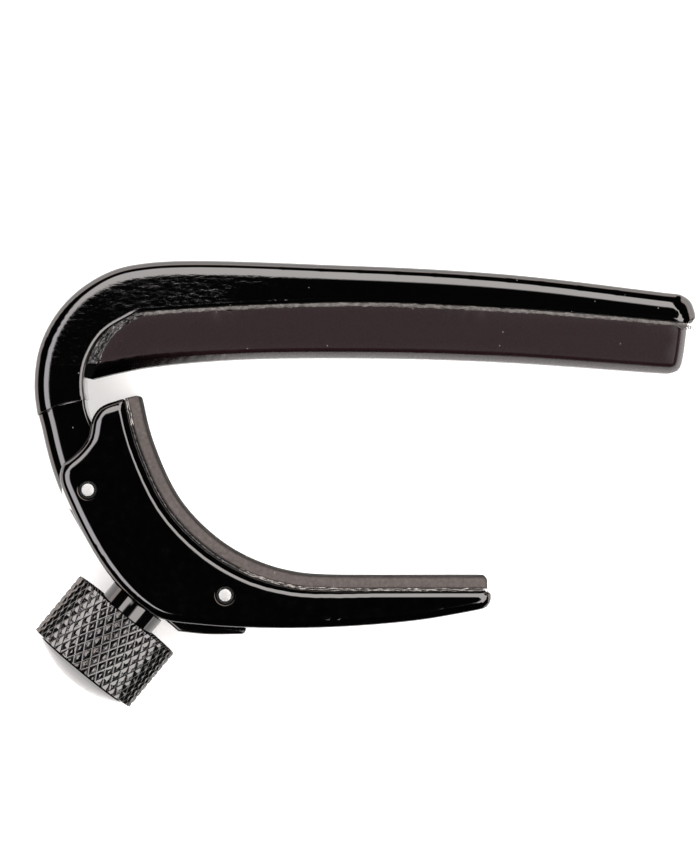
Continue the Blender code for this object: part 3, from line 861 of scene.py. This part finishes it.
def drops(rim):
    """(share of the width, drop as a share of the width) for each step of a rim, summed from its tilts."""
    steps = [(rim[-1][0], 0.0)]
    for (x0, t0), (x1, t1) in list(zip(rim, rim[1:]))[::-1]:
        middle = math.radians((t0 + t1) / 2)
        steps.append((x0, steps[-1][1] + (x1 - x0) * math.tan(middle)))
    return steps[::-1]


def flat_array(points):
    """The points' X and Y as an array."""
    return np.array([(p.x, p.y) for p in points])


def distance_to(spots, starts, ends):
    """The least distance from each spot to a set of straight edges."""
    best = np.full(len(spots), np.inf)
    for a, b in zip(starts, ends):
        along = b - a
        t = np.clip((spots - a) @ along / (along @ along), 0, 1)
        best = np.minimum(best, np.linalg.norm(spots - a - t[:, None] * along, axis=1))
    return best


def gaps_to(points, loop):
    """The least distance from each point to a closed loop."""
    starts = flat_array(loop)
    return distance_to(flat_array(points), starts, np.roll(starts, -1, axis=0))


def within(spots, starts, ends):
    """Which spots lie within the closed loop of these edges."""
    crossings = np.zeros(len(spots), int)
    for a, b in zip(starts, ends):
        if a[1] != b[1]:
            spans = (a[1] > spots[:, 1]) != (b[1] > spots[:, 1])
            crossings += spans & (spots[:, 0] < a[0] + (spots[:, 1] - a[1]) / (b[1] - a[1]) * (b[0] - a[0]))
    return crossings % 2 == 1


def cushion(loop, kinds, rims, low, high, grid):
    """A solid over a closed outline, with top and bottom rims that fall away.

    kinds names the rim on each edge of the outline, and rims has (profile, width) for each name.
    """
    count = len(loop)
    starts = flat_array(loop)
    ends = np.roll(starts, -1, axis=0)
    normals = []
    for i, here in enumerate(loop):
        u = (here - loop[i - 1]).normalized()
        v = (loop[(i + 1) % count] - here).normalized()
        along = (u + v).normalized()
        normals.append(Vector((-along.y, along.x)) / max(0.5, along.dot(v)))
    edges_of = {kind: [k for k in range(count) if kinds[k] == kind] for kind in rims}
    spots = [np.array(starts)]
    for kind, chosen in edges_of.items():
        profile, width = rims[kind]
        ends_of_kind = sorted({k for k in chosen} | {(k + 1) % count for k in chosen})
        for share, _ in profile[1:]:
            ring = flat_array([loop[k] + normals[k] * width * share for k in ends_of_kind])
            own = distance_to(ring, starts[chosen], ends[chosen])
            spots.append(ring[(own > width * share * 0.996) & within(ring, starts, ends)])
    low_corner, high_corner = starts.min(axis=0), starts.max(axis=0)
    inner = []
    for i in range(int((high_corner[0] - low_corner[0]) / grid) + 1):
        for j in range(int((high_corner[1] - low_corner[1]) / grid) + 1):
            inner.append((low_corner[0] + (i + 0.5 * (j % 2)) * grid, low_corner[1] + j * grid))
    inner = np.array(inner)
    clear = within(inner, starts, ends)
    for kind, chosen in edges_of.items():
        profile, width = rims[kind]
        if chosen:
            clear &= distance_to(inner, starts[chosen], ends[chosen]) > width * profile[-1][0] + 0.1 * MM
    spots.append(inner[clear])
    points = [Vector(p) for p in np.concatenate(spots)]
    edges = [(i, (i + 1) % count) for i in range(count)]
    points, _, faces, _, _, _ = delaunay_2d_cdt(points, edges, [], 1, 1e-7)
    where = flat_array(points)
    falls = np.zeros(len(points))
    for kind, chosen in edges_of.items():
        profile, width = rims[kind]
        shares, depths = np.array(drops(profile)).T
        near = distance_to(where, starts[chosen], ends[chosen]) / width
        falls = np.maximum(falls, width * np.interp(near, shares, depths, right=0.0))
    bm = bmesh.new()
    top = [bm.verts.new((p.x, p.y, high - fall)) for p, fall in zip(points, falls)]
    base = [bm.verts.new((p.x, p.y, low + fall)) for p, fall in zip(points, falls)]
    sides = set()
    for face in faces:
        bm.faces.new([top[i] for i in face])
        bm.faces.new([base[i] for i in face[::-1]])
        sides.update(zip(face, face[1:] + face[:1]))
    for i, j in sides:
        if (j, i) not in sides:
            bm.faces.new((top[j], top[i], base[i], base[j]))
    return bm


def prism(loop, low, high):
    """A straight-sided solid between two heights."""
    bm = bmesh.new()
    base = [bm.verts.new((p.x, p.y, low)) for p in loop]
    top = [bm.verts.new((p.x, p.y, high)) for p in loop]
    bm.faces.new(base[::-1])
    bm.faces.new(top)
    for i in range(len(loop)):
        j = (i + 1) % len(loop)
        bm.faces.new((base[i], base[j], top[j], top[i]))
    return bm


def loose(name, bm):
    """An object that only serves to shape another one."""
    return placed(name, mesh_from(name, bm))


def carved(bm, operation, *cutters):
    """The mesh with each cutter mesh taken away, or with only what they share kept."""
    base = loose("base", bm)
    tools = [loose("tool", cutter) for cutter in cutters]
    for tool in tools:
        step = base.modifiers.new("cut", "BOOLEAN")
        step.operation = operation
        step.object = tool
    evaluated = base.evaluated_get(bpy.context.evaluated_depsgraph_get())
    result = bmesh.new()
    result.from_mesh(evaluated.to_mesh())
    for used in [base, *tools]:
        bpy.data.meshes.remove(used.data)
    return result


def resampled(loop, step, corner_angle=25):
    """The loop with a point about every step on its smooth stretches, its sharp corners kept."""
    count = len(loop)
    sharp = []
    for i in range(count):
        u = (loop[i] - loop[i - 1]).normalized()
        v = (loop[(i + 1) % count] - loop[i]).normalized()
        sharp.append(math.degrees(u.angle(v)) > corner_angle)
    points = []
    for i in range(count):
        p0, p1, p2, p3 = loop[i - 1], loop[i], loop[(i + 1) % count], loop[(i + 2) % count]
        m1 = (p2 - p1) if sharp[i] else (p2 - p0) * ((p2 - p1).length / ((p2 - p1).length + (p1 - p0).length))
        last = (i + 1) % count
        m2 = (p2 - p1) if sharp[last] else (p3 - p1) * ((p2 - p1).length
                                                        / ((p3 - p2).length + (p2 - p1).length))
        pieces = max(1, round((p2 - p1).length / step))
        for k in range(pieces):
            t = k / pieces
            points.append(p1 * (2 * t**3 - 3 * t**2 + 1) + m1 * (t**3 - 2 * t**2 + t)
                          + p2 * (3 * t**2 - 2 * t**3) + m2 * (t**3 - t**2))
    return points


# ---------------------------------------------------------------- pads and glue

def make_string_pad(finish):
    """The thick pad. Its underside's rim turns from dark to bright away from the pivot."""
    low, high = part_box("string_pad")
    loop = resampled(middle_outline("string_pad"), 0.6 * MM, corner_angle=60)
    rims = {"seat": (ROUND_RIM, 0.12 * MM)}
    for k in range(RIM_STEPS + 1):
        share = k / RIM_STEPS
        rims[k] = (blend(DARK_RIM, PAD_RIM, share), (1.65 - 0.5 * share) * MM)
    kinds = []
    for azimuth, middle in facing(loop):
        under = -150 < azimuth < -20 or (abs(azimuth) <= 20 and middle.x > high.x - 3 * MM)
        kinds.append(round(held((middle.x - low.x) / (16 * MM)) * RIM_STEPS) if under else "seat")
    bm = cushion(loop, kinds, rims, low.z, high.z, 1.5 * MM)
    pad = add("string_pad_rubber", bm, "arm", "string_pad", smooth_angle=50)
    dress(pad, finish)


def make_neck_pad(finish):
    """The thin pad, with the corners away from its glue rounded."""
    low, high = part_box("neck_pad")
    outline = middle_outline("neck_pad")
    gaps = gaps_to(outline, middle_outline("neck_pad_adhesive"))
    loop = []
    for (before, here, after), gap in zip(corners_of(outline), gaps):
        if gap > SEAM_REACH and (here - before).angle(after - here) > math.radians(60):
            loop += [Vector(p) for p in rounded([before, here, after], 0.45 * MM)[1:-1]]
        else:
            loop.append(here)
    loop = resampled(loop, 0.6 * MM, corner_angle=60)
    kinds = ["rim"] * len(loop)
    bm = cushion(loop, kinds, {"rim": (PLAIN_RIM, 0.22 * MM)}, low.z, high.z, 0.5 * MM)
    pad = add("neck_pad_rubber", bm, "jaw", "neck_pad", smooth_angle=50)
    dress(pad, finish)


def strand(bm, path, radius, rng, wander, swell, sides=8):
    """A lumpy thread of dried glue along a path of points."""
    seed = rng.uniform(0, 100)
    rows = []
    for k, here in enumerate(path):
        before, after = path[max(k - 1, 0)], path[min(k + 1, len(path) - 1)]
        along = (after - before).normalized()
        side = along.cross(Vector((0, 0, 1))).normalized()
        shake = noise.noise_vector((seed, k * 0.31, 0))
        middle = here + side * shake.x * wander + Vector((0, 0, shake.y * wander * 0.4))
        r = radius * (1 + swell * noise.noise((seed, k * 0.53, 7)) * 2)
        r = max(r, radius * 0.1) * (0.2 if k in (0, len(path) - 1) else 1)
        row = []
        for i in range(sides):
            a = 2 * math.pi * i / sides
            row.append(bm.verts.new(middle + (side * math.cos(a) + Vector((0, 0, 1)) * math.sin(a)) * r))
        rows.append(row)
    skin(bm, rows, False)
    bm.faces.new(rows[0])
    bm.faces.new(rows[-1][::-1])


def path_along(points, step, height, shift=0.0):
    """Points every step along a plan line at one height, moved sideways by shift."""
    path = []
    for a, b in zip(points, points[1:]):
        count = max(1, round((b - a).length / step))
        along = (b - a).normalized()
        for k in range(count):
            p = a.lerp(b, k / count) + Vector((-along.y, along.x)) * shift
            path.append(Vector((p.x, p.y, height)))
    return path


def crumbs(bm, middle, spread, count, size, rng):
    """Small lumps strewn round a point."""
    for _ in range(count):
        spot = middle + Vector([rng.gauss(0, reach) for reach in spread])
        lump = bmesh.ops.create_icosphere(bm, subdivisions=1, radius=size * rng.uniform(0.4, 1.2))
        for v in lump["verts"]:
            v.co *= 1 + 0.35 * noise.noise(v.co * 9000 + spot * 5000)
        bmesh.ops.translate(bm, vec=spot, verts=lump["verts"])


def seam(pad):
    """The run of a pad's outline that touches its glue, from one end to the other."""
    loop = middle_outline(pad)
    return run_of(loop, gaps_to(loop, middle_outline(pad + "_adhesive")) < SEAM_REACH)


def make_string_glue(pale, dark, clear, rng):
    """Squeezed-out glue: a bead along the string pad, and a pool and a plug behind its end."""
    low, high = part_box("string_pad")
    outline = middle_outline("string_pad")
    run = seam("string_pad")
    straight = [p for p in run if p.x > PIVOT.x + 5.5 * MM]
    curved = [p for p in run if p.x < PIVOT.x + 6.5 * MM]
    middle = curved[len(curved) // 2]
    corner = max(outline, key=lambda p: p.x + p.y)
    bead, pool = bmesh.new(), bmesh.new()
    for height, inward in ((high.z - 0.12 * MM, -0.3 * MM), (low.z + 0.12 * MM, 0.3 * MM)):
        fill = [corner, corner + (straight[1] - corner).normalized() * 9 * MM]
        strand(bead, path_along(fill, 0.3 * MM, height + inward, -0.3 * MM), 0.42 * MM, rng, 0.05 * MM, 0.12)
        strand(bead, path_along(straight, 0.25 * MM, height, -0.12 * MM), 0.20 * MM, rng, 0.05 * MM, 0.35)
        strand(bead, path_along(straight, 0.25 * MM, height, -0.26 * MM), 0.13 * MM, rng, 0.06 * MM, 0.5)
        for shift, radius in ((-0.05, 0.13), (-0.30, 0.16), (-0.55, 0.13), (-0.75, 0.10)):
            strand(pool, path_along(curved, 0.2 * MM, height, shift * MM), radius * MM, rng, 0.10 * MM, 0.6)
        crumbs(bead, Vector((corner.x, corner.y + 0.2 * MM, height)), (0.3 * MM, 0.15 * MM, 0.1 * MM), 30,
               0.09 * MM, rng)
        crumbs(bead, Vector((middle.x - 0.3 * MM, middle.y, height)), (0.5 * MM, 0.8 * MM, 0.05 * MM), 12,
               0.05 * MM, rng)
    foot = min(outline, key=lambda p: p.x)
    end = [p for p in outline if p.x < PIVOT.x + 4 * MM and p.y - foot.y >= 0.8 * (p.x - foot.x)]
    inner = [p for p in outline_of("frame_arm", high.z - 2 * MM)
             if foot.y - 1.2 * MM < p.y < foot.y + 4 * MM and foot.x - 2.6 * MM < p.x < foot.x + 2 * MM]
    inner.sort(key=lambda p: p.y)
    end.sort(key=lambda p: -p.y)
    plug = prism(inner + end, low.z + 0.5 * MM, high.z - 0.5 * MM)
    for name, bm, finish in (("plug", plug, clear), ("bead", bead, pale), ("pool", pool, dark)):
        dress(add("string_glue_" + name, bm, "arm"), finish)


def make_neck_glue(finish, rng):
    """Hairs of glue along the neck pad's straight part and by its heel."""
    low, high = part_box("neck_pad")
    run = seam("neck_pad")
    straight = [p for p in run if p.x > PIVOT.x + 17 * MM]
    heel = [p for p in run if p.y > PIVOT.y + 6 * MM]
    hairs = bmesh.new()
    for height in (high.z - 0.05 * MM, low.z + 0.05 * MM):
        for part, radius in ((straight, 0.042 * MM), (heel, 0.05 * MM)):
            for shift in (-0.02, -0.18):
                path = path_along(part, 0.22 * MM, height, shift * MM)
                strand(hairs, path, radius, rng, 0.12 * MM, 1.1, sides=6)
        crumbs(hairs, Vector((run[-1].x, run[-1].y - 1.2 * MM, height)), (0.15 * MM, 0.8 * MM, 0.05 * MM), 16,
               0.07 * MM, rng)
    dress(add("neck_glue_hairs", hairs, "jaw"), finish)


# ---------------------------------------------------------------- the stage

def make_stage():
    """A wide pale floor with painted light: it glows, more away from the object and less near it."""
    bm = bmesh.new()
    bmesh.ops.create_circle(bm, cap_ends=True, radius=4.0, segments=96)
    mesh = bpy.data.meshes.new("floor")
    bm.to_mesh(mesh)
    bm.free()
    floor = placed("floor", mesh)
    floor.location.z = CAD_BOX[0][2] - 0.05 * MM
    pale = Finish("pale_floor", (0.55, 0.55, 0.55), 0.9)
    pale.paint(pale.mix(pale.noise(0.5, detail=1.0), (0.545, 0.55, 0.55), (0.555, 0.555, 0.555)))
    # painted light: the floor's emission, weaker near the object so some shade stays there
    glow = pale.band(pale.level_distance(0.0, 0.0), 0.05, 0.15, 0.5, 2.4)
    pale.feed(glow, pale.shader.inputs["Emission Strength"])
    pale.set("Emission Color", (1.0, 0.985, 0.97, 1.0))
    mesh.materials.append(pale.material)


def make_light():
    """Soft light from a ring round the zenith, dark overhead, and pale at the horizon.

    The ring is broken on the near side and narrower on the far left. Angles are in degrees.
    """
    world = bpy.data.worlds.new("studio")
    bpy.context.scene.world = world
    world.use_nodes = True
    sky = Nodes(world.node_tree)
    towards = sky.node("ShaderNodeTexCoord").outputs["Generated"]
    elevation = sky.product(sky.maths("ARCSINE", sky.part("Z", towards)), 180 / math.pi)
    azimuth = sky.product(sky.maths("ARCTAN2", sky.part("Y", towards), sky.part("X", towards)), 180 / math.pi)

    def rise(value, low, high):
        return sky.band(value, low, high, kind="SMOOTHSTEP")

    def fade(value, low, high):
        return sky.band(value, low, high, 1.0, 0.0, kind="SMOOTHSTEP")

    def off_azimuth(degrees):
        """How far a direction lies from an azimuth."""
        turn = sky.maths("SUBTRACT", azimuth, degrees)
        return sky.maths("ABSOLUTE", sky.maths("WRAP", turn, 180.0, -180.0))

    narrow = fade(off_azimuth(140.0), 8.0, 26.0)
    left = fade(off_azimuth(190.0), 25.0, 60.0)
    lower = sky.maths("ADD", 44.0, sky.maths("ADD", sky.product(narrow, 5.0), sky.product(left, 6.0)))
    upper = sky.maths("SUBTRACT", 77.0, sky.product(narrow, 8.0))
    ring = sky.product(rise(elevation, lower, sky.maths("ADD", lower, 2.5)),
                       fade(elevation, sky.maths("SUBTRACT", upper, 3.0), sky.maths("ADD", upper, 5.0)),
                       rise(off_azimuth(-90.0), 11.0, 28.0))
    horizon = sky.product(fade(elevation, 8.0, 11.0), rise(off_azimuth(-70.0), 45.0, 70.0))
    light = sky.maths("ADD", sky.product(ring, 8.8), sky.product(horizon, 4.5))
    tint = sky.mix(left, (1.0, 0.95, 0.925), (0.95, 0.91, 0.945))
    background = sky.tree.nodes["Background"]
    sky.feed(sky.maths("ADD", light, 0.01), background.inputs["Strength"])
    sky.feed(sky.mix(horizon, tint, (1.0, 0.82, 0.75)), background.inputs["Color"])


def make_camera():
    """Straight above, with the capo placed in the frame as in the photograph."""
    data = bpy.data.cameras.new("camera")
    camera = placed("camera", data)
    low, high = Vector(CAD_BOX[0]), Vector(CAD_BOX[1])
    distance = 0.8
    height = 98.0 * MM       # what the picture's long side takes in
    data.sensor_width = 36.0
    data.lens = data.sensor_width * distance / height
    middle = (low + high) / 2
    camera.location = (middle.x - 1.7 * MM, middle.y + 6.03 * MM, middle.z + distance)
    bpy.context.scene.camera = camera


# ---------------------------------------------------------------- the object

def main():
    """Builds every piece, and dresses the CAD nodes that stay as they are."""
    bpy.context.scene.view_settings.view_transform = "Standard"
    make_camera()
    make_stage()
    make_light()

    steel = bright_steel()
    glue = dried_glue()
    black = polished_black()
    nylon = white_nylon()
    carried = {
        "string_pad_adhesive": (glue, "dried_adhesive"),
        "neck_pad_adhesive": (glue, "dried_adhesive"),
        "barrel_o_ring": (seal(), "seal_rubber"),
        "pivot_bushing": (nylon, "nylon"),
        "pivot_washer": (nylon, "nylon"),
        "thrust_plate": (steel, "bare_steel"),
        "opening_spring": (steel, "bare_steel"),
        "knob_screw": (steel, "bare_steel"),
        "spindle_clip": (steel, "bare_steel"),
        "thrust_foot": (steel, "bare_steel"),
    }
    for node, (finish, slot) in carried.items():
        piece = frame["nodes"][node]
        piece.data.shade_smooth()
        piece.data.set_sharp_from_angle(angle=math.radians(40))
        flat_faces_stay_flat(piece)
        dress(piece, finish)

    make_arm(cast_black_paint())
    make_jaw(smooth_black_paint())
    make_knob(knurled_black())
    make_knob_cap(cap_black())
    make_barrel(black)
    make_spindle(steel)
    for pin in ("pivot_pin", "stop_pin"):
        make_pin(pin, steel)
    make_string_pad(pad_rubber())
    make_neck_pad(cut_rubber())
    rng = random.Random(4)
    noise.seed_set(4)        # noise_vector's offsets come from the clock otherwise
    pale = frayed_glue("bead_glue", (0.022, 0.020, 0.019), (0.085, 0.080, 0.074))
    make_string_glue(pale, glue, black, rng)
    make_neck_glue(frayed_glue("hair_glue", (0.03, 0.027, 0.025), (0.30, 0.28, 0.26)), rng)


main()
